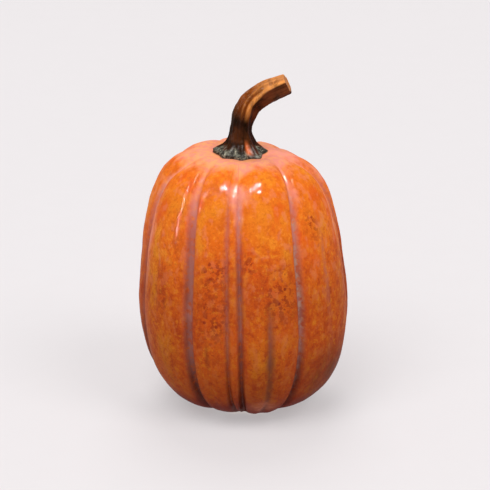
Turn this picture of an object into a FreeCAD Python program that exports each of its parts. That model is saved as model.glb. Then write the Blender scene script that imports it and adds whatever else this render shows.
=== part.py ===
"""Ceramic pumpkin figure: a tall ribbed pumpkin in glazed earthenware with a separate curved stem.

The body is a hollow slip-cast shell with a level seat for the stem on top, and a ground foot round a
shallow recess and a vent hole underneath. The stem is cast on its own with a round tenon, which goes
through a socket in the shell and is held by a layer of adhesive. Four felt pads are stuck under the
ground foot.

Millimetres, +Z up. The origin is on the table under the middle of the body, -Y is the front and the
stem leans to +X. Angles round the body start at the front and grow towards +X.
"""
import FreeCAD, Part
import math
import os
import Sketcher
from FreeCAD import Vector

# Driving dimensions: alias, value in millimetres or degrees, and what it is.
DRIVING = [
    ("body_radius", 75.0, "widest radius over the lobes"),
    ("body_height", 187.0, "table to the top of the lobes"),
    ("body_lean", -1.3, "degrees the body leans towards +X"),
    ("wall_thick", 5.0, "slip-cast wall"),
    ("lobe_bulge", 2.2, "how far a full lobe swells above its edges"),
    ("groove_depth", 2.8, "extra depth of the groove between two lobes"),
    ("cavity_relief", 0.6, "share of the lobes that shows on the inside of the wall"),
    ("seat_height", 185.5, "level seat under the stem's foot"),
    ("seat_radius", 20.0, "level seat under the stem's foot"),
    ("socket_radius", 5.5, "hole for the tenon"),
    ("vent_radius", 6.0, "vent hole in the base"),
    ("recess_radius", 14.0, "shallow recess inside the ground foot"),
    ("recess_depth", 2.5, "height of the recess above the ground foot"),
    ("film_thick", 0.3, "adhesive between seat and foot"),
    ("film_radius", 13.5, "reach of the adhesive under the foot"),
    ("tenon_radius", 5.0, "peg under the stem"),
    ("tenon_length", 9.0, "peg length below the foot"),
    ("tenon_chamfer", 0.8, "chamfer on the peg's end"),
    ("stem_rise", 49.8, "foot to the middle of the stem's cut end"),
    ("stem_radius", 8.6, "mean radius of the stem's shank"),
    ("foot_radius", 16.7, "mean radius of the stem's foot"),
    ("pad_radius", 4.5, "felt pad"),
    ("pad_thick", 1.5, "felt pad, and height of the ground foot above the table"),
    ("pad_round", 0.4, "soft edge of a pad"),
    ("pad_circle", 20.8, "radius of the circle that the pads stand on"),
]

# Outline of the body over its lobes, from outside the seat's edge down to the edge of the ground foot, as
# shares of body_radius and of the height above the foot.
BODY_OUTLINE = [
    (0.37, 1.0), (0.47, 0.995), (0.58, 0.977), (0.73, 0.925), (0.832, 0.845), (0.907, 0.735),
    (0.958, 0.60), (0.995, 0.45), (0.99, 0.32), (0.932, 0.20), (0.768, 0.085), (0.535, 0.02), (0.39, 0.0),
]

# Grooves between the lobes: angle, share of groove_depth, half width in degrees. The pair at the front
# has a thin rib between them.
GROOVES = [
    (-70, 0.9, 4.5), (-33.5, 1.1, 5.0), (-9, 0.9, 3.6), (-2, 0.95, 3.6), (33.5, 1.1, 4.5), (75, 0.95, 4.5),
    (103, 0.85, 4.5), (131, 0.95, 4.5), (166, 1.1, 4.5), (205, 0.95, 4.5), (247, 1.1, 5.0),
]
FULL_LOBE = 36.0  # a lobe this many degrees wide, or wider, has the whole bulge
LOBE_COLUMNS = (0, 0.04, 0.09, 0.15, 0.25, 0.38, 0.5, 0.62, 0.75, 0.85, 0.91, 0.96, 1)  # points on a lobe
BODY_RINGS = 26
FADE = 0.12  # the lobes grow in over this share of the outline at each end
FOOT_RELIEF = 0.45  # share of the lobes that is left at the ground foot
CAVITY_END = 0.94  # share of the outline where the cavity's level floor lies

# Stations along the stem: reach and rise as shares of stem_rise, tilt from upright in degrees, radius as
# a share of foot_radius (foot) or stem_radius (shank), and height of the ridges as a share of the radius.
FOOT_STATIONS = [
    (0, 0, 0, 1.0, 0.13), (0, 0.027, 0, 0.985, 0.13), (0, 0.068, 0, 0.84, 0.17), (0, 0.12, 0, 0.66, 0.17),
]
SHANK_STATIONS = [
    (0.006, 0.18, 0, 1.02, 0.13), (0.006, 0.26, 0, 0.93, 0.10), (0.009, 0.36, 5, 0.87, 0.09),
    (0.038, 0.51, 18, 0.92, 0.09), (0.084, 0.62, 31, 0.95, 0.09), (0.152, 0.72, 44, 0.99, 0.09),
    (0.268, 0.82, 56, 1.01, 0.08), (0.394, 0.888, 61, 0.98, 0.08), (0.516, 0.94, 63, 0.91, 0.07),
    (0.645, 1.0, 70, 0.83, 0.07),
]
ROOTS = (-95, -40, 8, 52, 100, 152, 208)  # angles of the foot's spreading roots, which run up as ridges
ROOT_HALF_WIDTH = 27.0
STEM_TWIST = -40.0  # degrees the ridges turn between foot and cut end
STEM_COLUMNS = 48

PAD_ANGLES = (54, 148, 226, 308)  # the pads stand under the middles of four lobes


def bell(x):
    """A smooth bump: 1 in the middle, 0 from x = 1 outwards."""
    return 0.5 + 0.5 * math.cos(math.pi * x) if abs(x) < 1 else 0.0


def smooth_step(x):
    x = max(0.0, min(1.0, x))
    return x * x * (3 - 2 * x)


def turn_between(a, b):
    """Signed angle from b to a, in degrees."""
    return (a - b + 180) % 360 - 180


def make_sheet(doc):
    sheet = doc.addObject("Spreadsheet::Sheet", "Dimensions")
    for row, (alias, value, note) in enumerate(DRIVING, start=1):
        sheet.set(f"A{row}", alias)
        sheet.set(f"B{row}", str(value))
        sheet.set(f"C{row}", note)
        sheet.setAlias(f"B{row}", alias)
    doc.recompute()
    return sheet


def lobe_profiles(sheet):
    """For each lobe, its points' angles in degrees and their heights against the outline: 0 on the
    crest, lowest in the two creases that it shares with its neighbours."""
    profiles = []
    for i, (first, depth, half_width) in enumerate(GROOVES):
        next_at, next_depth, next_half_width = GROOVES[(i + 1) % len(GROOVES)]
        width = (next_at - first) % 360
        points = []
        for share in LOBE_COLUMNS:
            swell = sheet.lobe_bulge * min(1.0, width / FULL_LOBE) * (1 - abs(2 * share - 1) ** 2.5)
            groove = depth * bell(share * width / half_width)
            groove += next_depth * bell((1 - share) * width / next_half_width)
            points.append((first + share * width, swell - sheet.lobe_bulge - sheet.groove_depth * groove))
        profiles.append(points)
    return profiles


def closed_curve(points, parameters):
    curve = Part.BSplineCurve()
    curve.interpolate(Points=points, PeriodicFlag=True, Parameters=parameters)
    return Part.Wire([curve.toShape()])


def lean_offset(sheet, height):
    """How far the body's axis stands towards +X at a height. It crosses the origin's Z at mid height."""
    return math.tan(math.radians(sheet.body_lean)) * (height - sheet.body_height / 2)


def lobed_ring(sheet, profiles, middle, direction, relief_share):
    """A ring with one edge for each lobe. The edges meet in the creases."""
    edges = []
    for profile in profiles:
        points = []
        for angle, height in profile:
            p = middle + direction * (height * relief_share)
            a = math.radians(angle)
            points.append(Vector(p.x * math.sin(a) + lean_offset(sheet, p.z), -p.x * math.cos(a), p.z))
        curve = Part.BSplineCurve()
        curve.interpolate(Points=points, Parameters=list(LOBE_COLUMNS))
        edges.append(curve.toShape())
    return Part.Wire(edges)


def lobed_solid(sheet, inset, relief_share, end_share):
    """The body's form down to end_share of its outline, inset along the outline's normal and closed by
    a level disc at each end."""
    rise = sheet.body_height - sheet.pad_thick
    corners = [Vector(sheet.seat_radius, 0, sheet.seat_height)]
    corners += [Vector(r * sheet.body_radius, 0, sheet.pad_thick + z * rise) for r, z in BODY_OUTLINE]
    outline = Part.BSplineCurve()
    outline.interpolate(corners)
    profiles = lobe_profiles(sheet)
    rings = []
    for i in range(BODY_RINGS):
        share = end_share * i / (BODY_RINGS - 1)
        at = outline.FirstParameter + share * (outline.LastParameter - outline.FirstParameter)
        tangent = outline.tangent(at)[0]
        normal = Vector(-tangent.z, 0, tangent.x)
        is_end = i in (0, BODY_RINGS - 1)
        direction = Vector(1, 0, 0) if is_end else normal  # an end ring stays level
        fade = smooth_step(share / FADE)
        fade *= FOOT_RELIEF + (1 - FOOT_RELIEF) * smooth_step((1 - share) / FADE)
        middle = outline.value(at) - normal * inset
        rings.append(lobed_ring(sheet, profiles, middle, direction, fade * relief_share))
    return Part.makeLoft(rings, True, False, False, 3)


def stem_ring(sheet, station, base_radius, share):
    """One closed ring of the stem. The ridges turn with share, which is 0 at the foot and 1 at the end."""
    reach, rise, tilt, radius, ridge = station
    centre = Vector(reach * sheet.stem_rise, 0, rise * sheet.stem_rise)
    lean = math.radians(tilt)
    side = Vector(math.cos(lean), 0, -math.sin(lean))
    front = Vector(0, -1, 0)
    points = []
    for i in range(STEM_COLUMNS):
        angle = 360 * i / STEM_COLUMNS
        crest = 0.0
        for root in ROOTS:
            crest += bell(turn_between(angle, root + STEM_TWIST * share) / ROOT_HALF_WIDTH)
        reach_out = base_radius * radius * (1 + ridge * (crest - 0.5))
        a = math.radians(angle)
        points.append(centre + (front * math.cos(a) + side * math.sin(a)) * reach_out)
    return closed_curve(points, [i / STEM_COLUMNS for i in range(STEM_COLUMNS + 1)])


def stem_solid(sheet):
    stations = [(station, sheet.foot_radius) for station in FOOT_STATIONS]
    stations += [(station, sheet.stem_radius) for station in SHANK_STATIONS]
    twist_start = len(FOOT_STATIONS)
    last = len(stations) - 1
    rings = []
    for i, (station, radius) in enumerate(stations):
        share = max(0.0, (i - twist_start) / (last - twist_start))
        rings.append(stem_ring(sheet, station, radius, share))
    return Part.makeLoft(rings, True, False, False, 3)


def add_form(doc, name, shape):
    """A Part::Feature for a free-form solid."""
    form = doc.addObject("Part::Feature", name)
    form.Shape = shape
    return form


def add_cylinder(doc, name, radius, height, base_z, at_x):
    """A cylinder whose radius, height and place are expressions on the sheet."""
    cylinder = doc.addObject("Part::Cylinder", name)
    cylinder.setExpression("Radius", radius)
    cylinder.setExpression("Height", height)
    cylinder.setExpression("Placement.Base.x", at_x)
    cylinder.setExpression("Placement.Base.z", base_z)
    return cylinder


def add_cone(doc, name, radius, top_radius, height, base_z, at_x):
    cone = doc.addObject("Part::Cone", name)
    cone.setExpression("Radius1", radius)
    cone.setExpression("Radius2", top_radius)
    cone.setExpression("Height", height)
    cone.setExpression("Placement.Base.x", at_x)
    cone.setExpression("Placement.Base.z", base_z)
    return cone


def add_cut(doc, name, base, tool):
    cut = doc.addObject("Part::Cut", name)
    cut.Base = base
    cut.Tool = tool
    return cut


SEAT_X = "tan(Dimensions.body_lean * 1 deg) * (Dimensions.seat_height - Dimensions.body_height / 2) * 1 mm"
BASE_X = "-tan(Dimensions.body_lean * 1 deg) * Dimensions.body_height / 2 * 1 mm"


def make_body_shell(doc, sheet):
    """The hollow shell: outside form, less the cavity, the stem's socket, and the recess and vent hole
    in the base."""
    skin = add_form(doc, "OuterSkin", lobed_solid(sheet, 0, 1, 1))
    cavity = add_form(doc, "Cavity", lobed_solid(sheet, sheet.wall_thick, sheet.cavity_relief, CAVITY_END))
    hollow = add_cut(doc, "HollowBody", skin, cavity)
    socket = add_cylinder(
        doc, "SocketHole", "Dimensions.socket_radius * 1 mm", "Dimensions.wall_thick * 3 * 1 mm",
        "(Dimensions.seat_height - Dimensions.wall_thick * 2) * 1 mm", SEAT_X,
    )
    socketed = add_cut(doc, "SocketedBody", hollow, socket)
    recess = add_cone(
        doc, "BaseRecess", "(Dimensions.recess_radius + 1) * 1 mm",
        "(Dimensions.recess_radius - Dimensions.recess_depth) * 1 mm",
        "(Dimensions.recess_depth + 1) * 1 mm", "(Dimensions.pad_thick - 1) * 1 mm", BASE_X,
    )
    recessed = add_cut(doc, "RecessedBody", socketed, recess)
    vent = add_cylinder(
        doc, "VentHole", "Dimensions.vent_radius * 1 mm", "Dimensions.wall_thick * 4 * 1 mm",
        "0 mm", BASE_X,
    )
    shell = add_cut(doc, "BodyShell", recessed, vent)
    shell.Label = "body_shell"
    return shell


def make_stem(doc, sheet):
    """The cast stem: spreading foot, curved ridged shank and the tenon below."""
    form = add_form(doc, "StemForm", stem_solid(sheet))
    form.setExpression("Placement.Base.x", SEAT_X)
    form.setExpression("Placement.Base.z", "(Dimensions.seat_height + Dimensions.film_thick) * 1 mm")
    tenon = add_cylinder(
        doc, "Tenon", "Dimensions.tenon_radius * 1 mm", "(Dimensions.tenon_length + 2) * 1 mm",
        "(Dimensions.seat_height + Dimensions.film_thick - Dimensions.tenon_length) * 1 mm", SEAT_X,
    )
    doc.recompute()
    eased = doc.addObject("Part::Chamfer", "EasedTenon")
    eased.Base = tenon
    lower_edge = min(range(len(tenon.Shape.Edges)), key=lambda i: tenon.Shape.Edges[i].CenterOfMass.z)
    eased.Edges = [(lower_edge + 1, sheet.tenon_chamfer, sheet.tenon_chamfer)]
    stem = doc.addObject("Part::Fuse", "Stem")
    stem.Base = form
    stem.Tool = eased
    stem.Label = "stem"
    return stem


def origin_plane(body, role):
    return next(f for f in body.Origin.OriginFeatures if f.Role == role)


def add_sketch(body, name, role):
    sketch = body.newObject("Sketcher::SketchObject", name)
    sketch.AttachmentSupport = [(origin_plane(body, role), "")]
    sketch.MapMode = "FlatFace"
    return sketch


def make_adhesive(doc, sheet):
    """A sleeve round the tenon with a thin flange under the foot, turned about the tenon's axis."""
    body = doc.addObject("PartDesign::Body", "StemAdhesive")
    sketch = add_sketch(body, "AdhesiveSection", "XZ_Plane")
    inner, sleeve, rim = sheet.tenon_radius, sheet.socket_radius, sheet.film_radius
    top, seat, bottom = sheet.film_thick, 0.0, -sheet.wall_thick
    corners = [(inner, top), (rim, top), (rim, seat), (sleeve, seat), (sleeve, bottom), (inner, bottom)]
    count = len(corners)
    for i, (x, y) in enumerate(corners):
        nx, ny = corners[(i + 1) % count]
        sketch.addGeometry(Part.LineSegment(Vector(x, y, 0), Vector(nx, ny, 0)), False)
    for i in range(count):
        sketch.addConstraint(Sketcher.Constraint("Coincident", i, 2, (i + 1) % count, 1))
        sketch.addConstraint(Sketcher.Constraint("Horizontal" if i % 2 == 0 else "Vertical", i))
    origin, start = (-1, 1), 1
    sized = [
        ("inner_radius", "DistanceX", origin, (0, start), inner, "Dimensions.tenon_radius * 1 mm"),
        ("rim_radius", "DistanceX", origin, (1, start), rim, "Dimensions.film_radius * 1 mm"),
        ("sleeve_radius", "DistanceX", origin, (3, start), sleeve, "Dimensions.socket_radius * 1 mm"),
        ("film", "DistanceY", origin, (0, start), top, "Dimensions.film_thick * 1 mm"),
        ("depth", "DistanceY", (4, start), origin, -bottom, "Dimensions.wall_thick * 1 mm"),
    ]
    for name, kind, first, second, value, expression in sized:
        index = sketch.addConstraint(Sketcher.Constraint(kind, *first, *second, value))
        sketch.renameConstraint(index, name)
        sketch.setExpression("Constraints." + name, expression)
    sketch.addConstraint(Sketcher.Constraint("PointOnObject", 3, start, -1))
    turned = body.newObject("PartDesign::Revolution", "AdhesiveTurned")
    turned.Profile = sketch
    turned.ReferenceAxis = (sketch, ["V_Axis"])
    turned.Angle = 360
    body.Label = "stem_adhesive"
    body.setExpression("Placement.Base.x", SEAT_X)
    body.setExpression("Placement.Base.z", "Dimensions.seat_height * 1 mm")
    return body


def make_pad(doc, sheet, number, angle):
    """One die-cut felt pad under a lobe."""
    body = doc.addObject("PartDesign::Body", f"FeltPad{number}")
    sketch = add_sketch(body, f"PadOutline{number}", "XY_Plane")
    sketch.addGeometry(Part.Circle(Vector(0, 0, 0), Vector(0, 0, 1), sheet.pad_radius), False)
    sketch.addConstraint(Sketcher.Constraint("Coincident", 0, 3, -1, 1))
    index = sketch.addConstraint(Sketcher.Constraint("Radius", 0, sheet.pad_radius))
    sketch.renameConstraint(index, "pad_radius")
    sketch.setExpression("Constraints.pad_radius", "Dimensions.pad_radius * 1 mm")
    disc = body.newObject("PartDesign::Pad", f"PadDisc{number}")
    disc.Profile = sketch
    disc.setExpression("Length", "Dimensions.pad_thick * 1 mm")
    doc.recompute()
    lower = min(range(len(disc.Shape.Edges)), key=lambda i: disc.Shape.Edges[i].CenterOfMass.z)
    soft = body.newObject("PartDesign::Fillet", f"PadEdge{number}")
    soft.Base = (disc, [f"Edge{lower + 1}"])
    soft.setExpression("Radius", "Dimensions.pad_round * 1 mm")
    body.Label = f"felt_pad_{number}"
    body.setExpression("Placement.Base.x", f"sin({angle} deg) * Dimensions.pad_circle * 1 mm + {BASE_X}")
    body.setExpression("Placement.Base.y", f"-cos({angle} deg) * Dimensions.pad_circle * 1 mm")
    return body


def check(doc, sub_parts):
    for item in doc.Objects:
        if "Invalid" in item.State or "Error" in item.State:
            raise RuntimeError(f"{item.Label} failed: {item.State}")
    for item in sub_parts:
        if item.Shape.isNull() or not item.Shape.isValid() or not item.Shape.Solids:
            raise RuntimeError(f"{item.Label} has no valid solid")


def main():
    doc = FreeCAD.newDocument("PumpkinFigure")
    sheet = make_sheet(doc)
    sub_parts = [make_body_shell(doc, sheet), make_stem(doc, sheet), make_adhesive(doc, sheet)]
    sub_parts += [make_pad(doc, sheet, i, angle) for i, angle in enumerate(PAD_ANGLES, start=1)]
    doc.recompute()
    check(doc, sub_parts)
    os.makedirs("parts", exist_ok=True)
    for item in sub_parts:
        item.Shape.exportStep(f"parts/{item.Label}.step")
        box = item.Shape.BoundBox
        print(f"{item.Label}: {item.Shape.Volume / 1000:.2f} cm3, z {box.ZMin:.2f} to {box.ZMax:.2f}")


main()
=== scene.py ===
"""Looks of the ceramic pumpkin figure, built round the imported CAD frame.

Metres, +Z up, the front is -Y and the stem leans to +X. Angles round the body are in degrees, start at the
front and grow towards +X. The body and the stem are meshes worked out ring by ring, with masks on their
points that tell the glaze where the creases, the pale top, the speckles and the other patches are.
"""
import math
import bmesh
import bpy
import numpy as np
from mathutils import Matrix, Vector, noise


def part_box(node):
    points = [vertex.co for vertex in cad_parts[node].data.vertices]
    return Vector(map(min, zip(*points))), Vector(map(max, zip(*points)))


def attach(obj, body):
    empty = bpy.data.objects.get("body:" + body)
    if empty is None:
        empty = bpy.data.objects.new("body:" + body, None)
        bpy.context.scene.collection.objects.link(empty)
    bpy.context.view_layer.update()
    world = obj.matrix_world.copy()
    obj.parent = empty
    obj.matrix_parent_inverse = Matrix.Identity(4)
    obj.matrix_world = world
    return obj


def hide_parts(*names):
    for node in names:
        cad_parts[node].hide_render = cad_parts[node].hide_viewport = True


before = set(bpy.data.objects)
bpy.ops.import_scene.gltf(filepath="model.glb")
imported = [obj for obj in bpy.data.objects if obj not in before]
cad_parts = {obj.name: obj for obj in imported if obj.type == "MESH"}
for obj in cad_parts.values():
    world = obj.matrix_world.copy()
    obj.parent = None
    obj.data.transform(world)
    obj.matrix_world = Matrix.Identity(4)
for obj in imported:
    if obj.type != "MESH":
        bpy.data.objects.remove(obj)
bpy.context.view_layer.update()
MM = 0.001

# ---------------------------------------------------------------- sizes from the frame
BODY_LOW, BODY_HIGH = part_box("body_shell")
STEM_LOW, STEM_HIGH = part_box("stem")
GLUE_LOW, GLUE_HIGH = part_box("stem_adhesive")
BODY_RADIUS = (BODY_HIGH.x - BODY_LOW.x + BODY_HIGH.y - BODY_LOW.y) / 4
FOOT_Z = BODY_LOW.z
BODY_RISE = BODY_HIGH.z - BODY_LOW.z
STEM_X = (GLUE_LOW.x + GLUE_HIGH.x) / 2
STEM_Z = GLUE_HIGH.z
FILM = 0.3 * MM
SEAT_Z = STEM_Z - FILM
STEM_LINE_SHARE = 0.88  # the middle line's part of the stem's rise; the thickness of its end is above it
STEM_RISE = (STEM_HIGH.z - STEM_Z) * STEM_LINE_SHARE

# ---------------------------------------------------------------- the body's form
LEAN = math.tan(math.radians(-1.3))
SEAT_RADIUS = 20 * MM
WALL = 5 * MM
SOCKET_RADIUS = 5.5 * MM
VENT_RADIUS = 6 * MM
RECESS_RADIUS = 14 * MM
RECESS_DEPTH = 2.5 * MM
CAVITY_FLOOR_Z = 10.5 * MM
CAVITY_END = 0.94  # share of the outline where the cavity's floor begins
CAVITY_RELIEF = 0.6  # how much of the lobes' relief shows inside
EDGE = 0.4 * MM  # half width of the small bevels underneath

# Outline over the lobes, from outside the seat down to the foot: shares of the radius and of the rise.
OUTLINE = [
    (0.37, 1.0), (0.47, 0.995), (0.58, 0.977), (0.73, 0.925), (0.832, 0.845), (0.907, 0.735),
    (0.958, 0.60), (0.995, 0.45), (0.99, 0.32), (0.932, 0.20), (0.768, 0.085), (0.535, 0.02), (0.39, 0.0),
]

# Grooves: angle at mid height, at the top and at the bottom; depth, half width and half width of the flat
# floor, in millimetres; how grey the glaze in the groove is, from red at 0, and how strongly it covers.
GROOVES = [
    (-76, -60, -83, 2.6, 5.0, 2.0, 0.6, 0.85), (-32, -39, -33.5, 3.2, 4.6, 1.5, 0.7, 0.9),
    (-9.4, -7, -11, 1.8, 2.8, 0.2, 0.6, 0.5), (-2, -2, -3, 2.8, 3.2, 0.4, 0.55, 0.8),
    (33.6, 52, 29.5, 3.2, 4.2, 0.7, 0.95, 0.85), (85, 62, 90, 2.8, 5.0, 2.2, 0.3, 0.95),
    (107, 104, 108, 2.4, 4.6, 0.4, 0.4, 0.6), (134, 133, 136, 2.8, 4.8, 0.8, 0.7, 0.8),
    (167, 163, 168, 3.2, 5.0, 1.2, 0.75, 0.85), (205, 207, 203, 2.7, 4.6, 0.5, 0.5, 0.7),
    (246, 244, 244, 3.1, 5.2, 1.2, 1.0, 0.85),
]
SWELL = 2.6 * MM  # how far a full lobe stands above its edges
FULL_LOBE = 36.0  # a lobe this many degrees wide, or wider, has the whole swell
RIB_WIDTH = 12.0  # a narrower lobe is a rib, which sinks away towards the top
RIB_SINK = 1.6 * MM
FINE_GROOVE = 3.5 * MM  # a groove with a smaller half width starts lower down and has no pale lip
FLANK_SHADE_WIDTH = 6.5  # millimetres from a groove over which the lobe's glaze is painted darker and redder, as shade

# Shallow folds within a lobe: angle, shares of the outline where the fold starts and ends, depth and half
# width in millimetres.
FOLDS = [
    (14.2, 0.47, 0.99, 1.8, 5.0), (-56, 0.30, 0.62, 0.8, 3.4), (56, 0.25, 0.78, 0.6, 4.5),
    (-21, 0.62, 0.97, 0.7, 4.5), (148, 0.42, 0.97, 1.3, 5.5), (226, 0.22, 0.72, 0.8, 4.5),
    (268, 0.50, 0.97, 1.2, 5.0), (94, 0.55, 0.95, 0.6, 4.0), (128, 0.04, 0.36, 1.8, 24),
]

INKED_FOLD_DEPTH = 1.2  # folds at least this deep have glaze pooled in them, as the grooves have,
INKED_FOLD_WIDTH = 6  # if their half width is less than this

SAG = 3.6 * MM  # the top sinks by this much behind the stem, on the side that the stem leans to
SAG_ANGLE = 125.0
SAG_HALF_WIDTH = 70.0

# Patches of dark red speckles: angle, height in millimetres, half width in degrees, half height.
SPECKLES = [
    (-16, 122, 9, 9), (-18, 92, 10, 22), (21, 104, 12, 20), (-50, 100, 4, 16), (47, 148, 5, 9),
    (92, 96, 9, 26), (120, 118, 8, 14), (150, 92, 12, 24), (186, 108, 11, 22), (224, 84, 10, 20),
    (262, 112, 12, 22), (4, 128, 5, 8),
]

# Other patches of glaze, in the same units: ochre, brown patches that are partly overspray and partly painted
# shade low down, pale spots where the glaze has run thin, and rose.
OCHRE = [
    (-16, 181, 11, 5), (20, 181, 12, 5), (62, 178, 10, 6), (-60, 108, 5, 40), (-14, 160, 8, 12),
    (12, 156, 11, 14), (-48, 160, 8, 12), (52, 150, 10, 14), (26, 128, 4, 30), (-26, 140, 4, 26),
    (10, 50, 9, 22), (-48, 62, 9, 22), (118, 150, 10, 22), (150, 150, 9, 16), (186, 156, 10, 14),
    (226, 150, 9, 24), (268, 152, 9, 16), (-57, 112, 2.5, 34),
]
UMBER_AND_SHADE = [
    (64, 36, 24, 24), (96, 30, 16, 20), (14, 58, 2.4, 36), (-20.5, 60, 1, 9), (-78, 40, 10, 30),
    (200, 34, 20, 18), (266, 40, 16, 18),
]
THIN = [
    (12, 18, 9, 6), (53, 115, 1.4, 30), (120, 16, 9, 6), (232, 18, 10, 6),
]
ROSE = [
    (-4, 172, 12, 6), (-3, 162, 8, 12), (42, 170, 4, 8), (-70, 125, 9, 38), (72, 150, 1.5, 26),
    (104, 168, 5, 12), (86, 172, 16, 7), (92, 187, 44, 7), (132, 160, 5, 20), (165, 162, 5, 18),
    (206, 160, 5, 20), (246, 158, 5, 22),
]
PATCHES = {"speckle": SPECKLES, "ochre": OCHRE, "umber_and_shade": UMBER_AND_SHADE, "thin": THIN, "rose": ROSE}
RING_MASKS = ("crease", "grey", "pale", "flank_shade")  # masks worked out with the relief of each ring

OUTER_RINGS = 200
CAVITY_RINGS = 34
COLUMN_STEP = 1.05  # degrees between the body's columns, about


def bell(x):
    """A smooth bump: 1 in the middle, 0 from 1 outwards."""
    return np.where(np.abs(x) < 1, 0.5 + 0.5 * np.cos(np.pi * np.clip(x, -1, 1)), 0.0)


def ease(x):
    """A smooth step: 0 up to 0, 1 from 1."""
    x = np.clip(x, 0, 1)
    return x * x * (3 - 2 * x)


def turn_between(a, b):
    """Signed angle from b to a, in degrees."""
    return (a - b + 180) % 360 - 180


def spline(points, samples):
    """A smooth curve through points: its positions at samples, which are shares of its length."""
    points = np.array(points, float)
    steps = np.linalg.norm(np.diff(points, axis=0), axis=1)
    knots = np.concatenate([[0], np.cumsum(steps)]) / steps.sum()
    count = len(points)
    gaps = np.diff(knots)
    matrix = np.eye(count)
    right = np.zeros_like(points)
    for i in range(1, count - 1):
        matrix[i, i - 1:i + 2] = gaps[i - 1], 2 * (gaps[i - 1] + gaps[i]), gaps[i]
        right[i] = 6 * ((points[i + 1] - points[i]) / gaps[i] - (points[i] - points[i - 1]) / gaps[i - 1])
    bend = np.linalg.solve(matrix, right)
    samples = np.asarray(samples, float)
    at = np.clip(np.searchsorted(knots, samples, side="right") - 1, 0, count - 2)
    gap = gaps[at][:, None]
    ahead = (knots[at + 1] - samples)[:, None]
    behind = (samples - knots[at])[:, None]
    curve = (bend[at] * ahead**3 + bend[at + 1] * behind**3) / (6 * gap)
    curve += (points[at] / gap - bend[at] * gap / 6) * ahead
    return curve + (points[at + 1] / gap - bend[at + 1] * gap / 6) * behind


def lumps(points, size, octaves=2):
    """Smooth noise for each point, about -1 to 1, with bumps of about size metres."""
    return np.array([noise.fractal(Vector(p) / size, 0.6, 2.0, octaves) for p in points])


def groove_angles(share):
    """The angle of each groove at a share of the outline. Grooves fan out towards both ends."""
    to_top = max(0.0, 1 - share / 0.45) ** 2.5
    to_bottom = max(0.0, (share - 0.55) / 0.45) ** 1.6
    return [mid + (top - mid) * to_top + (low - mid) * to_bottom for mid, top, low, *_ in GROOVES]


def lobe_shares():
    """For each lobe, the shares of its width where it has columns, closer together near its creases."""
    found = []
    for i, groove in enumerate(GROOVES):
        width = (GROOVES[(i + 1) % len(GROOVES)][0] - groove[0]) % 360
        count = max(12, 2 * round(width / COLUMN_STEP / 2))
        even = np.arange(count) / count
        found.append(even - 0.11 * np.sin(2 * np.pi * even) * (width > RIB_WIDTH))
    return found


def outer_ring(share, point, normal, shares):
    """One ring of the lobed outside: positions and masks of its points."""
    angles = groove_angles(share)
    at_top = ease(share / 0.13)  # the relief grows from nothing at the seat
    at_foot = 0.45 + 0.55 * float(ease((1 - share) / 0.06))  # and is weaker at the foot
    low_depth = 1 + 0.55 * float(ease((share - 0.72) / 0.18))  # grooves are deeper low down
    turns, heights, crease, grey, pale, flank_shade = [], [], [], [], [], []
    for i, row in enumerate(shares):
        j = (i + 1) % len(GROOVES)
        width = (angles[j] - angles[i]) % 360
        arc = math.radians(width) * point[0]
        swell = SWELL * min(1.0, width / FULL_LOBE) * (1 - np.abs(2 * row - 1) ** 2.5) - SWELL
        if width < RIB_WIDTH:
            swell = swell - RIB_SINK * (1 - ease((share - 0.2) / 0.2))
        mark = np.zeros_like(row)
        tint = np.zeros_like(row)
        wide = np.zeros_like(row)
        side = np.zeros_like(row)
        for groove, away in ((GROOVES[i], row * arc), (GROOVES[j], (1 - row) * arc)):
            depth, half_width, floor = groove[3] * MM, groove[4] * MM, groove[5] * MM
            greyness, ink = groove[6:]
            fine = half_width < FINE_GROOVE
            start, shallow = (0.12, 0.0) if fine else (0.08, 0.5)
            cut = depth * low_depth * (shallow + (1 - shallow) * float(ease((share - start) / 0.24)))
            swell = swell - cut * bell(np.maximum(away - floor, 0) / (half_width - floor))
            reach = (floor * 0.5 + 1.3 * MM) * (1 + 0.5 * (low_depth - 1))
            near = ink * np.exp(-((np.maximum(away - floor, 0) / reach) ** 2))
            tint = np.where(near > mark, greyness, tint)
            mark = np.maximum(mark, near)
            lip = 0.0 if fine else 0.8
            wide = np.maximum(wide, lip * np.exp(-((away / (floor + 1.5 * MM)) ** 2)))
            # painted shade beside the groove
            side = np.maximum(side, ink * np.exp(-((away / FLANK_SHADE_WIDTH / MM) ** 2)))
        turns.append(angles[i] + row * width)
        heights.append(swell)
        crease.append(mark)
        grey.append(tint)
        pale.append(wide)
        flank_shade.append(side)
    turns, heights, crease, grey = (np.concatenate(rows) for rows in (turns, heights, crease, grey))
    for angle, start, end, depth, half_width in FOLDS:
        along = float(ease((share - start) / 0.14) * ease((end - share) / 0.10))
        away = np.radians(turn_between(turns, angle)) * point[0] / (half_width * MM)
        heights = heights - depth * MM * along * bell(away)
        if INKED_FOLD_DEPTH <= depth and half_width < INKED_FOLD_WIDTH:
            line = 0.6 * along * bell(away * 2)
            grey = np.where(line > crease, 0.4, grey)
            crease = np.maximum(crease, line)
    heights = heights * at_top * at_foot
    radii = point[0] + normal[0] * heights
    sunk = SAG * bell(turn_between(turns, SAG_ANGLE) / SAG_HALF_WIDTH)
    sunk = sunk * float(ease(share / 0.05) * ease((0.42 - share) / 0.30))
    z = point[1] + normal[1] * heights - sunk
    masks = {
        "crease": crease * float(ease((share - 0.12) / 0.12)),
        "grey": grey,
        "flank_shade": np.concatenate(flank_shade) * float(ease((share - 0.2) / 0.2)),
        "pale": np.maximum(
            float(ease((0.165 - share) / 0.14)),
            np.concatenate(pale) * float(ease((0.34 - share) / 0.16)),
        ),
    }
    return turns, radii, z, masks


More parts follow.
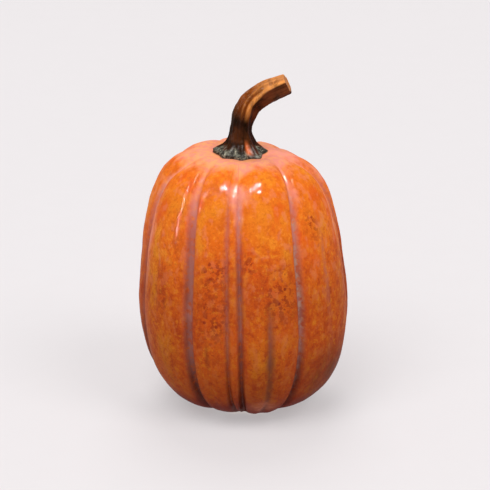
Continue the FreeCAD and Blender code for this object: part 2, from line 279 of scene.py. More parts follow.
def ring_points(turns, radii, z):
    """Points at angles, radii and heights round the body's axis, which leans a little to the left."""
    a = np.radians(turns)
    z = np.broadcast_to(z, a.shape)
    axis_x = LEAN * (z - (FOOT_Z + BODY_RISE / 2))
    return np.stack([radii * np.sin(a) + axis_x, -radii * np.cos(a), z], axis=1)


def mesh_piece(name, points, faces, masks=None, material_index=None):
    """A smooth object made of points and faces, with its masks stored as attributes of the points."""
    mesh = bpy.data.meshes.new(name)
    mesh.from_pydata([tuple(p) for p in points], [], faces)
    shell = bmesh.new()
    shell.from_mesh(mesh)
    bmesh.ops.recalc_face_normals(shell, faces=shell.faces)
    shell.to_mesh(mesh)
    shell.free()
    mesh.polygons.foreach_set("use_smooth", [True] * len(mesh.polygons))
    if material_index is not None:
        mesh.polygons.foreach_set("material_index", material_index)
    for label, values in (masks or {}).items():
        layer = mesh.attributes.new(label, "FLOAT", "POINT")
        layer.data.foreach_set("value", np.asarray(values, np.float32))
    mesh.update()
    piece = bpy.data.objects.new(name, mesh)
    bpy.context.scene.collection.objects.link(piece)
    return piece


def ring_faces(rings, columns, closed):
    """Quads between neighbouring rings. A closed loop of rings also joins the last to the first."""
    faces = []
    for i in range(rings if closed else rings - 1):
        first, second = i * columns, (i + 1) % rings * columns
        for j in range(columns):
            k = (j + 1) % columns
            faces.append((first + j, second + j, second + k, first + k))
    return faces


def patch_mask(patches, turn, z):
    """How far each point is inside any of the soft-edged patches."""
    mask = np.zeros(len(z))
    for angle, height, half_turn, half_height in patches:
        off = (turn_between(turn, angle) / half_turn) ** 2 + ((z / MM - height) / half_height) ** 2
        mask += np.exp(-(off**1.3))
    return np.clip(mask, 0, 1)


def make_body():
    """The shell as one closed loop of rings: seat, outside, foot, recess, vent hole, cavity, socket."""
    shares = lobe_shares()
    samples = np.linspace(0, 1, OUTER_RINGS)
    corners = [(SEAT_RADIUS, SEAT_Z)] + [(r * BODY_RADIUS, FOOT_Z + z * BODY_RISE) for r, z in OUTLINE]
    line = spline(corners, samples)
    tangent = np.gradient(line, axis=0)
    tangent /= np.linalg.norm(tangent, axis=1)[:, None]
    normals = np.stack([-tangent[:, 1], tangent[:, 0]], axis=1)
    top_turns = outer_ring(0, line[0], normals[0], shares)[0]
    foot_turns = outer_ring(1, line[-1], normals[-1], shares)[0]
    columns = len(top_turns)
    blank = {label: np.full(columns, label == "pale", float) for label in RING_MASKS}
    rings, masks, kinds, at_share = [], [], [], []

    def add(turns, radii, z, ring_masks, kind, share=-1.0):  # kind: 0 glaze, 1 bare clay
        rings.append(ring_points(turns, radii, z))
        masks.append(ring_masks)
        kinds.append(kind)
        at_share.append(np.full(columns, share))

    for radius in (5.5, 5.9, 8, 11, 14, 17):
        add(top_turns, radius * MM, SEAT_Z, blank, 0)
    for i in range(OUTER_RINGS):
        normal = (1.0, 0.0) if i == OUTER_RINGS - 1 else normals[i]
        turns, radii, z, ring_masks = outer_ring(samples[i], line[i], normal, shares)
        if i > OUTER_RINGS - 8:  # the last few rings don't dip below the foot
            z = np.maximum(z, FOOT_Z)
        add(turns, radii, z, ring_masks, 0, samples[i])
    foot_radii = radii
    recess_top = FOOT_Z + RECESS_DEPTH
    for radius in (foot_radii - EDGE, foot_radii * 0.9, 20 * MM, RECESS_RADIUS + EDGE):
        add(foot_turns, radius, FOOT_Z, blank, 1)
    recess_and_vent = [
        (RECESS_RADIUS, FOOT_Z + EDGE), (RECESS_RADIUS - RECESS_DEPTH + EDGE, recess_top - EDGE),
        (RECESS_RADIUS - RECESS_DEPTH - EDGE, recess_top), (9 * MM, recess_top),
        (VENT_RADIUS + EDGE, recess_top), (VENT_RADIUS, recess_top + EDGE),
        (VENT_RADIUS, CAVITY_FLOOR_Z - EDGE), (VENT_RADIUS + EDGE, CAVITY_FLOOR_Z),
        (14 * MM, CAVITY_FLOOR_Z), (22 * MM, CAVITY_FLOOR_Z), (29 * MM, CAVITY_FLOOR_Z),
    ]
    for radius, z in recess_and_vent:
        add(foot_turns, radius, z, blank, 1)
    for share in np.linspace(CAVITY_END, 0, CAVITY_RINGS):
        i = round(share * (OUTER_RINGS - 1))
        middle = line[i] - normals[i] * WALL
        turns, radii, z, _ = outer_ring(share, line[i], normals[i], shares)
        radii = middle[0] + (radii - line[i][0]) * CAVITY_RELIEF
        z = np.maximum(middle[1] + (z - line[i][1]) * CAVITY_RELIEF, CAVITY_FLOOR_Z)
        add(turns, radii, z, blank, 1)
    for radius in (15 * MM, 10 * MM, SOCKET_RADIUS):
        add(top_turns, radius, SEAT_Z - WALL, blank, 1)

    points = np.concatenate(rings)
    share = np.concatenate(at_share)
    outside = share >= 0
    spot = points[outside]
    away = ease(share[outside] / 0.12) * ease((1 - share[outside]) / 0.05)
    uneven = 0.55 * lumps(spot, 30 * MM) + 0.10 * lumps(spot + 1, 10 * MM)
    uneven += 0.14 * lumps(spot + 2, 5 * MM, 1)
    from_axis = spot - np.array([0, 0, FOOT_Z + BODY_RISE * 0.45])
    from_axis /= np.linalg.norm(from_axis, axis=1)[:, None]
    points[outside] = spot + from_axis * (uneven * away * MM)[:, None]
    values = {label: np.concatenate([m[label] for m in masks]) for label in blank}
    across = points[:, 0] - LEAN * (points[:, 2] - FOOT_Z - BODY_RISE / 2)
    turn = np.degrees(np.arctan2(across, -points[:, 1]))
    for label, patches in PATCHES.items():
        values[label] = patch_mask(patches, turn, points[:, 2]) * outside
    index = np.repeat(kinds, columns)
    body = mesh_piece("pumpkin_body", points, ring_faces(len(rings), columns, True), values, index)
    body.data.materials.append(orange_glaze())
    body.data.materials.append(bare_clay())
    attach(body, "root")
    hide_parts("body_shell")


# ---------------------------------------------------------------- the stem
# Middle line of the stem: reach to +X, reach to -Y and rise, as shares of its rise.
STEM_LINE = [
    (0.0, 0, 0), (0.006, 0, 0.18), (0.008, 0, 0.36), (0.038, 0, 0.51), (0.084, 0.005, 0.616),
    (0.151, 0.01, 0.724), (0.268, 0.02, 0.81), (0.394, 0.03, 0.888), (0.516, 0.04, 0.941), (0.645, 0.05, 1.0),
]
# Mean radius in millimetres at shares of the stem's length.
STEM_RADII = [
    (0, 17.2), (0.02, 17.0), (0.05, 14.4), (0.085, 11.6), (0.12, 9.6), (0.17, 8.1), (0.22, 7.3), (0.29, 7.0),
    (0.4, 7.5), (0.5, 7.8), (0.6, 8.1), (0.72, 8.1), (0.83, 7.8), (0.93, 7.2), (1, 6.8),
]
# Roots that run up as ridges: angle at the foot, height in shares of the radius, half width in degrees.
ROOTS = [
    (-95, 0.17, 30), (-42, 0.12, 26), (4, 0.15, 25), (44, 0.20, 24), (100, 0.17, 28), (152, 0.13, 28),
    (208, 0.15, 30),
]
TWIST = -68.0  # degrees the ridges turn between foot and cut end
UNDER_START = 40.0  # the painted shade starts at this ridge and reaches UNDER_WIDTH degrees round
UNDER_WIDTH = 170.0
GAP_ANGLE = 24.0  # the gap between two roots where the glaze shows orange
GAP_HALF_WIDTH = 14
HIGHLIGHT_ANGLE = -9  # a painted highlight runs beside the painted shade, this far round from where the shade starts
HIGHLIGHT_HALF_WIDTH = 12
RIDGE_HEIGHT = 0.25  # share of the radius at which a ridge counts as fully raised
DISHED_END = (0.9, 0.6, 0.3)  # rings of the cut end, as shares of its radius
DISH_DEPTH = 0.7 * MM
STEM_RINGS = 190
STEM_COLUMNS = 168
TENON_RADIUS = 4.95 * MM
TENON_CHAMFER = 0.8 * MM


def stem_frames(samples):
    """Points of the stem's middle line and the two directions across it, to the front and to the side."""
    line = [Vector((x, -y, z)) * STEM_RISE + Vector((STEM_X, 0, STEM_Z)) for x, y, z in STEM_LINE]
    middle = spline(line, samples)
    ahead = np.gradient(middle, axis=0)
    ahead /= np.linalg.norm(ahead, axis=1)[:, None]
    ahead[0] = ahead[1] = (0, 0, 1)
    front = np.array([0, -1, 0]) - ahead * (ahead @ np.array([0, -1, 0]))[:, None]
    front /= np.linalg.norm(front, axis=1)[:, None]
    return middle, front, np.cross(ahead, front)


def make_stem():
    """The stem as a stack of rings: tenon, spreading foot, ridged and twisted shank, dished cut end."""
    samples = np.linspace(0, 1, STEM_RINGS) ** 1.15
    middle, front, side = stem_frames(samples)
    turns = np.arange(STEM_COLUMNS) * 360 / STEM_COLUMNS
    radii = np.interp(samples, *zip(*STEM_RADII)) * MM
    rings = []
    masks = {"ridge": [], "foot": [], "along": [], "shaded_side": [], "gap": []}

    def add(points, **values):
        rings.append(points)
        for label, found in masks.items():
            found.append(np.broadcast_to(values.get(label, 0.0), turns.shape))

    centre = np.array([STEM_X, 0, 0])
    sines = np.sin(np.radians(turns))[:, None]
    cosines = np.cos(np.radians(turns))[:, None]
    circle = np.concatenate([sines, -cosines, np.zeros((STEM_COLUMNS, 1))], axis=1)
    tenon = [
        (TENON_RADIUS * 0.5, STEM_LOW.z), (TENON_RADIUS - TENON_CHAMFER, STEM_LOW.z),
        (TENON_RADIUS, STEM_LOW.z + TENON_CHAMFER), (TENON_RADIUS, STEM_Z - FILM), (TENON_RADIUS, STEM_Z),
        (9 * MM, STEM_Z), (13.5 * MM, STEM_Z),
    ]
    for radius, z in tenon:
        add(centre + circle * radius + np.array([0, 0, z]), foot=1.0)
    for i, share in enumerate(samples):
        spread = float(ease((0.16 - share) / 0.16))
        crest = np.zeros(STEM_COLUMNS)
        for angle, height, half_width in ROOTS:
            away = np.abs(turn_between(turns, angle + TWIST * ease((share - 0.1) / 0.9))) / half_width
            crest += height * np.clip(1 - away, 0, 1) ** 1.25
        strength = 1.0 + 0.2 * spread - 0.1 * share
        grain = 0.02 * np.sin(np.radians(turns * 17 - share * 500))
        grain += 0.014 * np.sin(np.radians(turns * 31 + share * 700))
        radius = radii[i] * (0.93 + strength * crest + grain * (1 - spread))
        rounding = 0.6 * MM * max(0.0, 1 - (1 - share) / 0.012) ** 2
        points = middle[i] + (front[i] * cosines + side[i] * sines) * (radius - rounding)[:, None]
        # Painted shade on the side of the stem turned away from the light.
        from_ridge = (turns - UNDER_START - TWIST * ease((share - 0.1) / 0.9)) % 360
        shaded_side = ease(from_ridge / 8) * ease((UNDER_WIDTH - from_ridge) / 20)
        gap = bell(turn_between(turns, GAP_ANGLE) / GAP_HALF_WIDTH)
        gap = gap * ease((share - 0.02) / 0.04) * ease((0.18 - share) / 0.1)
        # painted highlight beside the shaded side
        lip = np.exp(-((turn_between(from_ridge, HIGHLIGHT_ANGLE) / HIGHLIGHT_HALF_WIDTH) ** 2))
        ridge = np.maximum(crest / RIDGE_HEIGHT, lip)
        add(points, ridge=ridge, foot=spread, along=share, shaded_side=shaded_side, gap=gap)
    end = rings[-1]
    for share in DISHED_END:
        dent = DISH_DEPTH * (1 - share) * np.cross(side[-1], front[-1])
        add(middle[-1] + (end - middle[-1]) * share + dent, ridge=0.25, along=0.8)
    count = len(rings)
    points = np.concatenate(rings)
    first = len(tenon)
    skin = slice((first + 1) * STEM_COLUMNS, count * STEM_COLUMNS)
    spot = points[skin]
    values = {label: np.concatenate(found) for label, found in masks.items()}
    foot = values["foot"][skin]
    inner = np.concatenate([middle[1:], np.repeat(middle[-1:], len(DISHED_END), axis=0)])
    outward = spot - np.repeat(inner, STEM_COLUMNS, axis=0)
    outward /= np.maximum(np.linalg.norm(outward, axis=1)[:, None], 1e-9)
    uneven = 0.35 * lumps(spot, 11 * MM) + 0.16 * lumps(spot + 3, 3.2 * MM)
    uneven += foot * 0.30 * lumps(spot + 5, 2.4 * MM)
    points[skin] = spot + outward * (uneven * MM)[:, None]
    points[skin, 2] = np.maximum(points[skin, 2], STEM_Z + 0.02 * MM)
    faces = ring_faces(count, STEM_COLUMNS, False)
    last = (count - 1) * STEM_COLUMNS
    faces += [tuple(range(STEM_COLUMNS)), tuple(range(last, last + STEM_COLUMNS))]
    stem = mesh_piece("curved_stem", points, faces, values)
    stem.data.materials.append(stem_glaze())
    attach(stem, "root")
    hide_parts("stem")


# ---------------------------------------------------------------- the felt pads
PAD_COLUMNS = 72
# Rings from the bottom face to the top face: shares of the radius and of the thickness.
PAD_PROFILE = [
    (0.25, 0.03), (0.55, 0.03), (0.8, 0.02), (0.93, 0.05), (0.985, 0.16), (1.0, 0.45), (0.995, 0.8),
    (0.97, 0.97), (0.8, 1.0), (0.4, 1.0),
]
PAD_FUZZ = 0.012  # share of the radius


def make_pad(number):
    """A die-cut felt disc: a slightly crowned face, a soft edge and a fuzzy, uneven side."""
    low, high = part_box(f"felt_pad_{number}")
    middle = (low + high) / 2
    radius, thick = (high.x - low.x) / 2, high.z - low.z
    turns = np.arange(PAD_COLUMNS) * 2 * np.pi / PAD_COLUMNS
    rings = []
    for share, height in PAD_PROFILE:
        level = np.full(PAD_COLUMNS, thick * height)
        ring = np.stack([np.sin(turns) * radius * share, -np.cos(turns) * radius * share, level], axis=1)
        rings.append(ring + np.array([middle.x, middle.y, low.z]))
    points = np.concatenate(rings)
    side = points - np.array([middle.x, middle.y, 0])
    fuzz = lumps(points, 0.9 * MM) * PAD_FUZZ
    points[:, :2] += side[:, :2] * (fuzz - PAD_FUZZ)[:, None]
    last = (len(rings) - 1) * PAD_COLUMNS
    faces = ring_faces(len(rings), PAD_COLUMNS, False)
    faces += [tuple(range(PAD_COLUMNS)), tuple(range(last, last + PAD_COLUMNS))]
    pad = mesh_piece(f"felt_disc_{number}", points, faces)
    pad.data.materials.append(felt())
    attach(pad, "root")
    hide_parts(f"felt_pad_{number}")


# ---------------------------------------------------------------- materials
def srgb(red, green, blue):
    """Linear colour of a display colour given as 0 to 255."""
    def linear(value):
        value /= 255
        return value / 12.92 if value <= 0.04045 else ((value + 0.055) / 1.055) ** 2.4
    return (linear(red), linear(green), linear(blue), 1.0)


class Paint:
    """A material's nodes, made and joined by short calls."""

    def __init__(self, name):
        self.material = bpy.data.materials.new(name)
        self.material.use_nodes = True
        self.tree = self.material.node_tree
        self.shader = self.tree.nodes["Principled BSDF"]
        self.place = self.node("ShaderNodeTexCoord").outputs["Object"]

    def node(self, kind, **settings):
        """A new node with these settings."""
        node = self.tree.nodes.new(kind)
        for key, value in settings.items():
            setattr(node, key, value)
        return node

    def put(self, socket, value):
        """Links a socket to an output, or sets it to a plain value."""
        if isinstance(value, bpy.types.NodeSocket):
            self.tree.links.new(value, socket)
        else:
            socket.default_value = value

    def mask(self, name):
        """One of the masks stored on the mesh's points."""
        return self.node("ShaderNodeAttribute", attribute_name=name).outputs["Fac"]

    def noise(self, scale, detail=3.0, rough=0.55, stretch=(1, 1, 1)):
        """Smooth noise, with scale bumps to the metre. A stretch below 1 draws it out along that axis."""
        mapping = self.node("ShaderNodeMapping")
        self.put(mapping.inputs["Vector"], self.place)
        mapping.inputs["Scale"].default_value = stretch
        node = self.node("ShaderNodeTexNoise")
        self.put(node.inputs["Vector"], mapping.outputs["Vector"])
        node.inputs["Scale"].default_value = scale
        node.inputs["Detail"].default_value = detail
        node.inputs["Roughness"].default_value = rough
        return node.outputs["Fac"]

    def dots(self, scale, radius, chosen):
        """Round spots in a share of the cells, each cell about 1 / scale metres wide."""
        node = self.node("ShaderNodeTexVoronoi", feature="F1")
        self.put(node.inputs["Vector"], self.place)
        node.inputs["Scale"].default_value = scale
        split = self.node("ShaderNodeSeparateColor")
        self.put(split.inputs[0], node.outputs["Color"])
        round_spot = self.step(node.outputs["Distance"], radius * 0.7, radius, 1.0, 0.0)
        return self.times(round_spot, self.step(split.outputs[0], chosen, chosen + 0.1, 1.0, 0.0))

    def step(self, value, low, high, to_low=0.0, to_high=1.0):
        """A smooth change from to_low, where value is low or less, to to_high, where it is high or more."""
        node = self.node("ShaderNodeMapRange", interpolation_type="SMOOTHSTEP")
        self.put(node.inputs["Value"], value)
        for key, number in (("From Min", low), ("From Max", high), ("To Min", to_low), ("To Max", to_high)):
            node.inputs[key].default_value = number
        return node.outputs["Result"]

    def work_out(self, kind, first, second):
        """One Math node: a product, sum, difference or larger value of two."""
        node = self.node("ShaderNodeMath", operation=kind)
        self.put(node.inputs[0], first)
        self.put(node.inputs[1], second)
        return node.outputs[0]

    def times(self, first, second):
        return self.work_out("MULTIPLY", first, second)

    def plus(self, first, second):
        return self.work_out("ADD", first, second)

    def minus(self, first, second):
        return self.work_out("SUBTRACT", first, second)

    def larger(self, first, second):
        return self.work_out("MAXIMUM", first, second)

    def mix(self, amount, first, second, blend="MIX"):
        """A colour between first, at an amount of 0, and second, at 1."""
        node = self.node("ShaderNodeMix", data_type="RGBA", blend_type=blend)
        self.put(node.inputs["Factor"], amount)
        self.put(node.inputs[6], first)
        self.put(node.inputs[7], second)
        return node.outputs[2]

    def height(self):
        """Height above the table, in metres."""
        split = self.node("ShaderNodeSeparateXYZ")
        self.put(split.inputs[0], self.place)
        return split.outputs["Z"]

    def bump(self, height, depth, before=None):
        """Relief from a height of 0 to 1 that is depth metres deep, on top of the relief before it."""
        node = self.node("ShaderNodeBump")
        self.put(node.inputs["Height"], height)
        node.inputs["Strength"].default_value = 1.0
        node.inputs["Distance"].default_value = depth
        if before is not None:
            self.put(node.inputs["Normal"], before)
        return node.outputs["Normal"]

    def finish(self, color, rough, normal, coat_normal=None, **fixed):
        """Joins everything to the shader. What is the same all over is set on the shader itself."""
        self.put(self.shader.inputs["Base Color"], color)
        self.put(self.shader.inputs["Roughness"], rough)
        self.put(self.shader.inputs["Normal"], normal)
        if coat_normal is not None:
            self.put(self.shader.inputs["Coat Normal"], coat_normal)
        for key, value in fixed.items():
            self.shader.inputs[key.replace("_", " ")].default_value = value
        return self.material


ORANGE = srgb(228, 106, 14)
FOOT_SHADE_SHARE = (0.38, 0.28, 0.09, 1.0)  # what is left of the colour at the foot: painted shade, darker towards the bottom
LOW_SHADE_SHARE = (0.66, 0.58, 0.31, 1.0)  # and higher up, where the painted shade is lighter
CHALK = 0.02  # a chalky veil over the whole glaze


def orange_glaze():
    """Layers of brushed glaze with red speckles, pale creases, grey groove floors, and painted light and
    shade: darker downwards.
    """
    paint = Paint("orange_glaze")
    z = paint.height()
    broad = paint.noise(24, 2, 0.5, (1, 1, 0.5))
    brush = paint.noise(95, 4, 0.58, (1, 1, 0.5))
    mottle = paint.noise(230, 3, 0.62)
    fine = paint.noise(620, 2, 0.6)
    base = paint.mix(paint.step(broad, 0.4, 0.66, 0, 0.4), ORANGE, srgb(188, 62, 8))
    base = paint.mix(paint.step(brush, 0.5, 0.7, 0, 0.55), base, srgb(232, 138, 20))
    base = paint.mix(paint.step(brush, 0.3, 0.48, 0.6, 0), base, srgb(170, 56, 6))
    uneven = paint.step(brush, 0.32, 0.62, 0.1, 0.85)
    base = paint.mix(paint.times(paint.mask("ochre"), uneven), base, srgb(222, 136, 26))
    base = paint.mix(paint.step(mottle, 0.53, 0.67, 0, 0.6), base, srgb(182, 60, 8))
    base = paint.mix(paint.step(mottle, 0.34, 0.46, 0.55, 0), base, srgb(242, 150, 40))
    base = paint.mix(paint.step(fine, 0.54, 0.7, 0, 0.4), base, srgb(160, 52, 8))
    base = paint.mix(paint.step(fine, 0.3, 0.44, 0.3, 0), base, srgb(246, 158, 60))
    # Lighter and yellower towards the top: painted light.
    base = paint.mix(paint.step(z, 0.120, 0.165, 0, 0.4), base, srgb(238, 122, 30))
    vivid = paint.step(paint.noise(75, 3, 0.55, (1, 1, 0.45)), 0.53, 0.66)
    vivid = paint.times(vivid, paint.step(z, 0.10, 0.15, 0, 0.55))
    base = paint.mix(vivid, base, srgb(222, 76, 18))
    dusty = paint.noise(180, 2, 0.5, (1, 1, 0.7))
    base = paint.mix(paint.step(dusty, 0.52, 0.66, 0, 0.42), base, srgb(228, 130, 90))
    # Painted shade: darker, redder glaze beside the grooves.
    base = paint.mix(paint.times(paint.mask("flank_shade"), 0.5), base, srgb(196, 74, 24))
    patchy = paint.times(paint.mask("speckle"), paint.step(brush, 0.36, 0.56, 0.55, 1.0))
    base = paint.mix(paint.times(patchy, 0.35), base, srgb(206, 74, 16))
    blots = paint.times(paint.step(paint.noise(270, 3, 0.6), 0.505, 0.575), 0.72)
    spots = paint.times(patchy, paint.larger(blots, paint.dots(260, 0.36, 0.34)))
    base = paint.mix(paint.times(spots, 0.85), base, srgb(132, 26, 6))
    worn = paint.larger(paint.mask("pale"), paint.times(paint.mask("rose"), 0.65))
    worn = paint.minus(worn, paint.times(paint.mask("ochre"), 0.5))
    edge = paint.step(paint.plus(worn, paint.times(brush, 1.5)), 0.85, 1.75)
    rose = paint.mix(paint.step(mottle, 0.4, 0.6), srgb(240, 158, 106), srgb(232, 142, 120))
    rose = paint.mix(paint.times(paint.mask("rose"), 0.5), rose, srgb(234, 142, 130))
    base = paint.mix(edge, base, rose)
    # Painted shade: the glaze is made darker towards the foot.
    dark = paint.mix(paint.step(z, 0.015, 0.085), FOOT_SHADE_SHARE, LOW_SHADE_SHARE)
    dark = paint.mix(paint.step(z, 0.085, 0.150), dark, (1.0, 1.0, 1.0, 1.0))
    base = paint.mix(1.0, base, dark, "MULTIPLY")
    # Painted shade: a dark red line along the bottom edge, where the lobes turn under.
    shaded_rim = paint.plus(z, paint.times(brush, 0.012))
    base = paint.mix(paint.step(shaded_rim, 0.019, 0.035, 0.92, 0), base, srgb(98, 15, 6))
    # Brown patches: partly overspray, partly painted shade low on the body.
    uneven_umber_and_shade = paint.step(brush, 0.3, 0.65, 0.35, 0.8)
    base = paint.mix(paint.times(paint.mask("umber_and_shade"), uneven_umber_and_shade), base, srgb(84, 32, 12))
    thin = paint.times(paint.mask("thin"), paint.step(mottle, 0.35, 0.6, 0.25, 0.7))
    base = paint.mix(thin, base, srgb(186, 112, 84))
    # The groove colours grow darker towards the foot: painted shade in the deep lower grooves.
    red = paint.mix(paint.step(z, 0.035, 0.085), srgb(62, 19, 12), srgb(108, 38, 18))
    red = paint.mix(paint.step(z, 0.11, 0.165), red, srgb(192, 94, 78))
    grey = paint.mix(paint.step(z, 0.035, 0.085), srgb(98, 55, 52), srgb(162, 110, 104))
    grey = paint.mix(paint.step(z, 0.11, 0.165), grey, srgb(212, 142, 134))
    broken = paint.step(paint.noise(260, 3, 0.6), 0.32, 0.52, 0.3, 1.0)
    line = paint.times(paint.mask("crease"), broken)
    line = paint.times(line, paint.step(z, 0.164, 0.182, 1.0, 0.0))
    flecked = paint.times(paint.mask("grey"), paint.step(brush, 0.38, 0.6, 0.7, 1.2))
    inlay = paint.mix(flecked, red, grey)
    flakes = paint.step(paint.noise(190, 2, 0.5), 0.49, 0.57)
    flakes = paint.times(flakes, paint.step(paint.mask("grey"), 0.8, 1.0))
    flakes = paint.times(flakes, paint.step(z, 0.05, 0.10, 0.1, 0.6))
    inlay = paint.mix(flakes, inlay, srgb(178, 164, 146))
    base = paint.mix(line, base, inlay)
    base = paint.mix(CHALK, base, srgb(236, 176, 140))
    normal = paint.bump(brush, 0.7 * MM)
    normal = paint.bump(mottle, 0.3 * MM, normal)
    normal = paint.bump(spots, 0.15 * MM, normal)
    rough = paint.step(mottle, 0.3, 0.7, 0.35, 0.5)
    glassy = paint.bump(paint.noise(120, 2, 0.5), 0.35 * MM)
    return paint.finish(
        base, rough, normal, glassy,
        Coat_Weight=0.14, Coat_Roughness=0.06, Coat_IOR=1.45, Specular_IOR_Level=0.0,
    )


def bare_clay():
    """Unglazed, grainy clay: the foot, the recess and the inside."""
    paint = Paint("bare_clay")
    grain = paint.noise(900, 4, 0.65)
    cloud = paint.noise(60, 3, 0.5)
    base = paint.mix(paint.step(cloud, 0.35, 0.65), srgb(214, 190, 158), srgb(198, 168, 134))
    base = paint.mix(paint.step(grain, 0.6, 0.7, 0, 0.5), base, srgb(150, 118, 88))
    return paint.finish(base, paint.step(grain, 0.3, 0.7, 0.75, 0.95), paint.bump(grain, 0.15 * MM))


def stem_glaze():
    """Brown glaze: nearly black on the shank, tan at the tip, dark grey with pale flecks on the foot, painted
    shade and highlights.
    """
    paint = Paint("stem_glaze")
    streak = paint.noise(190, 4, 0.6, (1, 1, 0.25))
    cloud = paint.noise(80, 3, 0.55)
    fine = paint.noise(600, 3, 0.6)
    top = paint.step(paint.mask("along"), 0.34, 0.58)
    tip = paint.step(paint.mask("along"), 0.6, 0.88)
    shank = paint.mix(paint.step(streak, 0.42, 0.6), srgb(18, 12, 3), srgb(40, 18, 6))
    base = paint.mix(top, shank, srgb(128, 60, 10))
    base = paint.mix(tip, base, srgb(206, 132, 72))
    # Painted highlight along the ridges and beside the painted shade.
    lit = paint.times(paint.step(paint.mask("ridge"), 0.3, 0.95), top)
    base = paint.mix(paint.times(lit, 0.9), base, srgb(232, 150, 74))
    base = paint.mix(paint.step(streak, 0.36, 0.5, 0.5, 0), base, srgb(84, 42, 14))
    base = paint.mix(paint.step(cloud, 0.5, 0.7, 0, 0.3), base, srgb(120, 62, 26))
    ashy = paint.times(paint.step(paint.noise(420, 2, 0.5), 0.56, 0.66, 0, 0.35), top)
    base = paint.mix(ashy, base, srgb(170, 122, 92))
    # Painted shade on the side of the stem turned away from the light.
    shade = paint.mix(paint.step(streak, 0.42, 0.6), srgb(40, 17, 8), srgb(78, 34, 16))
    shade = paint.mix(paint.step(cloud, 0.52, 0.66, 0, 0.6), shade, srgb(100, 47, 24))
    base = paint.mix(paint.times(paint.mask("shaded_side"), 0.95), base, shade)
    moss = paint.mix(paint.step(paint.noise(330, 3, 0.6), 0.42, 0.6), srgb(52, 48, 42), srgb(114, 112, 98))
    moss = paint.mix(paint.step(paint.noise(460, 2, 0.5), 0.6, 0.68), moss, srgb(176, 170, 148))
    moss = paint.mix(paint.step(cloud, 0.58, 0.68, 0, 0.7), moss, srgb(100, 46, 28))
    moss = paint.mix(paint.step(fine, 0.56, 0.66, 0, 0.7), moss, srgb(30, 26, 20))
    foot = paint.plus(paint.mask("foot"), paint.times(cloud, 0.45))
    foot = paint.minus(foot, paint.times(paint.mask("ridge"), 0.62))
    foot = paint.step(foot, 0.5, 0.8)
    base = paint.mix(foot, base, moss)
    show = paint.times(paint.mask("gap"), paint.step(streak, 0.3, 0.6, 0.7, 1.0))
    base = paint.mix(show, base, srgb(222, 108, 48))
    normal = paint.bump(streak, 0.5 * MM)
    normal = paint.bump(fine, 0.12 * MM, normal)
    rough = paint.step(fine, 0.3, 0.7, 0.34, 0.52)
    return paint.finish(
        base, rough, normal, Coat_Weight=0.03, Coat_Roughness=0.25, Specular_IOR_Level=0.02
    )


def adhesive():
    """Cured adhesive, cream and a little cloudy."""
    paint = Paint("cured_adhesive")
    cloud = paint.noise(260, 3, 0.5)
    base = paint.mix(paint.step(cloud, 0.4, 0.6), srgb(224, 208, 168), srgb(206, 184, 136))
    return paint.finish(base, paint.step(cloud, 0.3, 0.7, 0.3, 0.5), paint.bump(cloud, 0.1 * MM))


def felt():
    """Brown felt, with fibres that run both ways."""
    paint = Paint("brown_felt")
    fibre = paint.noise(2600, 4, 0.7, (1, 0.35, 1))
    cross = paint.noise(2200, 4, 0.7, (0.35, 1, 1))
    mat = paint.larger(fibre, cross)
    base = paint.mix(paint.step(mat, 0.45, 0.7), srgb(44, 36, 32), srgb(82, 70, 62))
    rough = paint.step(mat, 0.4, 0.7, 0.85, 1.0)
    return paint.finish(base, rough, paint.bump(mat, 0.25 * MM), Sheen_Weight=0.4)


# ---------------------------------------------------------------- studio
CAMERA_DISTANCE = 1.5
CAMERA_RISE = math.radians(20)
AIM = Vector((0.001, 0, 0.1175))
LENS = 157  # focal length in millimetres
SENSOR = 36
LIGHT_TARGET = Vector((0, 0, 0.12))
FAR = 9.0  # distance of the soft lights
NEAR = 1.8  # and of those that only show as reflections
# Small lamps reflected at the tops of the lobes: angle from the front and angle above the table.
GLINTS = [(4, 68), (-6, 60), (24, 73), (15, 66), (48, 76), (38, 70), (-14, 70), (33, 60), (12, 73), (56, 71)]
PALE = srgb(242, 238, 239)
FLOOR_REACH = 15
FLOOR_GLOW = 0.455  # halves the strength of the shadows
BACKDROP_REACH = 5.0
BACKDROP_SIDES = 64
BACKDROP_HEIGHTS = (-0.5, 5.0)


def aim(thing, target):
    """Turns a camera or a light towards a point."""
    thing.rotation_euler = (Vector(target) - thing.location).to_track_quat("-Z", "Y").to_euler()


def make_camera():
    """A long lens, a little above the object, from the front."""
    data = bpy.data.cameras.new("camera")
    data.lens = LENS
    data.sensor_width = SENSOR
    data.clip_end = 50
    camera = bpy.data.objects.new("camera", data)
    camera.location = AIM + Vector((0, -math.cos(CAMERA_RISE), math.sin(CAMERA_RISE))) * CAMERA_DISTANCE
    aim(camera, AIM)
    bpy.context.scene.collection.objects.link(camera)
    bpy.context.scene.camera = camera


def studio_light(name, turn, rise, distance, size, power, height=None, glint=False):
    """A disc or strip light at an angle from the front towards +X and an angle above the table.

    A glint light only shows in the glaze's reflections. The others only light the surfaces.
    """
    data = bpy.data.lights.new(name, "AREA")
    data.shape = "RECTANGLE" if height else "DISK"
    data.size = size
    if height:
        data.size_y = height
    data.energy = power
    light = bpy.data.objects.new(name, data)
    a, b = math.radians(turn), math.radians(rise)
    towards = Vector((math.sin(a) * math.cos(b), -math.cos(a) * math.cos(b), math.sin(b)))
    light.location = LIGHT_TARGET + towards * distance
    light.visible_camera = False
    light.visible_diffuse = not glint
    light.visible_glossy = glint
    aim(light, LIGHT_TARGET)
    bpy.context.scene.collection.objects.link(light)


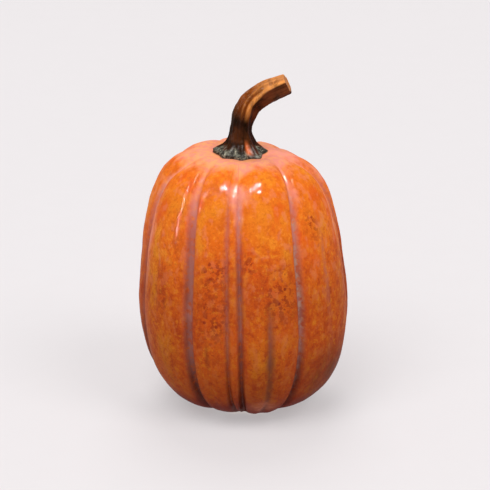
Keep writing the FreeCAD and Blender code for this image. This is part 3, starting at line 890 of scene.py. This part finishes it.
def make_floor():
    """A pale, matt floor that glows a little, so that its shadows stay soft and faint."""
    mesh = bpy.data.meshes.new("floor")
    corners = [(-1, -1), (1, -1), (1, 1), (-1, 1)]
    mesh.from_pydata([(x * FLOOR_REACH, y * FLOOR_REACH, 0) for x, y in corners], [], [(0, 1, 2, 3)])
    floor = bpy.data.objects.new("floor", mesh)
    bpy.context.scene.collection.objects.link(floor)
    paint = Paint("pale_floor")
    grain = paint.noise(40, 2, 0.5)
    color = paint.mix(grain, srgb(164, 161, 162), srgb(162, 159, 160))
    glow = {"Emission_Color": PALE, "Emission_Strength": FLOOR_GLOW, "Specular_IOR_Level": 0.0}
    mesh.materials.append(paint.finish(color, 1.0, paint.bump(grain, 0.01 * MM), **glow))


def make_backdrop():
    """A pale wall round the table. Only the camera sees it, so it lights nothing."""
    turns = np.arange(BACKDROP_SIDES) * 2 * np.pi / BACKDROP_SIDES
    rings = []
    for z in BACKDROP_HEIGHTS:
        x, y = np.sin(turns) * BACKDROP_REACH, np.cos(turns) * BACKDROP_REACH
        rings.append(np.stack([x, y, np.full(BACKDROP_SIDES, z)], axis=1))
    faces = ring_faces(len(rings), BACKDROP_SIDES, False)
    wall = mesh_piece("backdrop", np.concatenate(rings), faces)
    paint = Paint("pale_backdrop")
    cloud = paint.noise(0.2, 1, 0.5)
    color = paint.mix(cloud, srgb(3, 3, 3), srgb(4, 4, 4))
    glow = {"Emission_Color": PALE, "Emission_Strength": 1.0, "Specular_IOR_Level": 0.0}
    wall.data.materials.append(paint.finish(color, 1.0, paint.bump(cloud, 0.01 * MM), **glow))
    wall.visible_diffuse = False
    wall.visible_glossy = False
    wall.visible_transmission = False
    wall.visible_shadow = False


def make_studio():
    """Plain colours, a faint even sky, the floor, the backdrop and the lights."""
    scene = bpy.context.scene
    scene.view_settings.view_transform = "Standard"
    world = bpy.data.worlds.new("studio")
    world.use_nodes = True
    background = world.node_tree.nodes["Background"]
    background.inputs["Color"].default_value = (1.0, 0.985, 0.99, 1)
    background.inputs["Strength"].default_value = 0.34
    scene.world = world
    make_floor()
    make_backdrop()
    studio_light("key", -30, 56, FAR, 6.4, 500)
    studio_light("fill", 50, 48, FAR, 4.8, 275)
    studio_light("ceiling", 180, 62, FAR, 5.4, 290)
    for number, (turn, rise) in enumerate(GLINTS):
        studio_light(f"glint_{number}", turn, rise, NEAR, 0.11, 19, glint=True)
    studio_light("strip_left", -72, 24, NEAR, 0.045, 40, height=1.8, glint=True)


make_camera()
make_studio()
make_body()
make_stem()
for pad_number in range(1, 5):
    make_pad(pad_number)
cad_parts["stem_adhesive"].data.materials.clear()
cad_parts["stem_adhesive"].data.materials.append(adhesive())
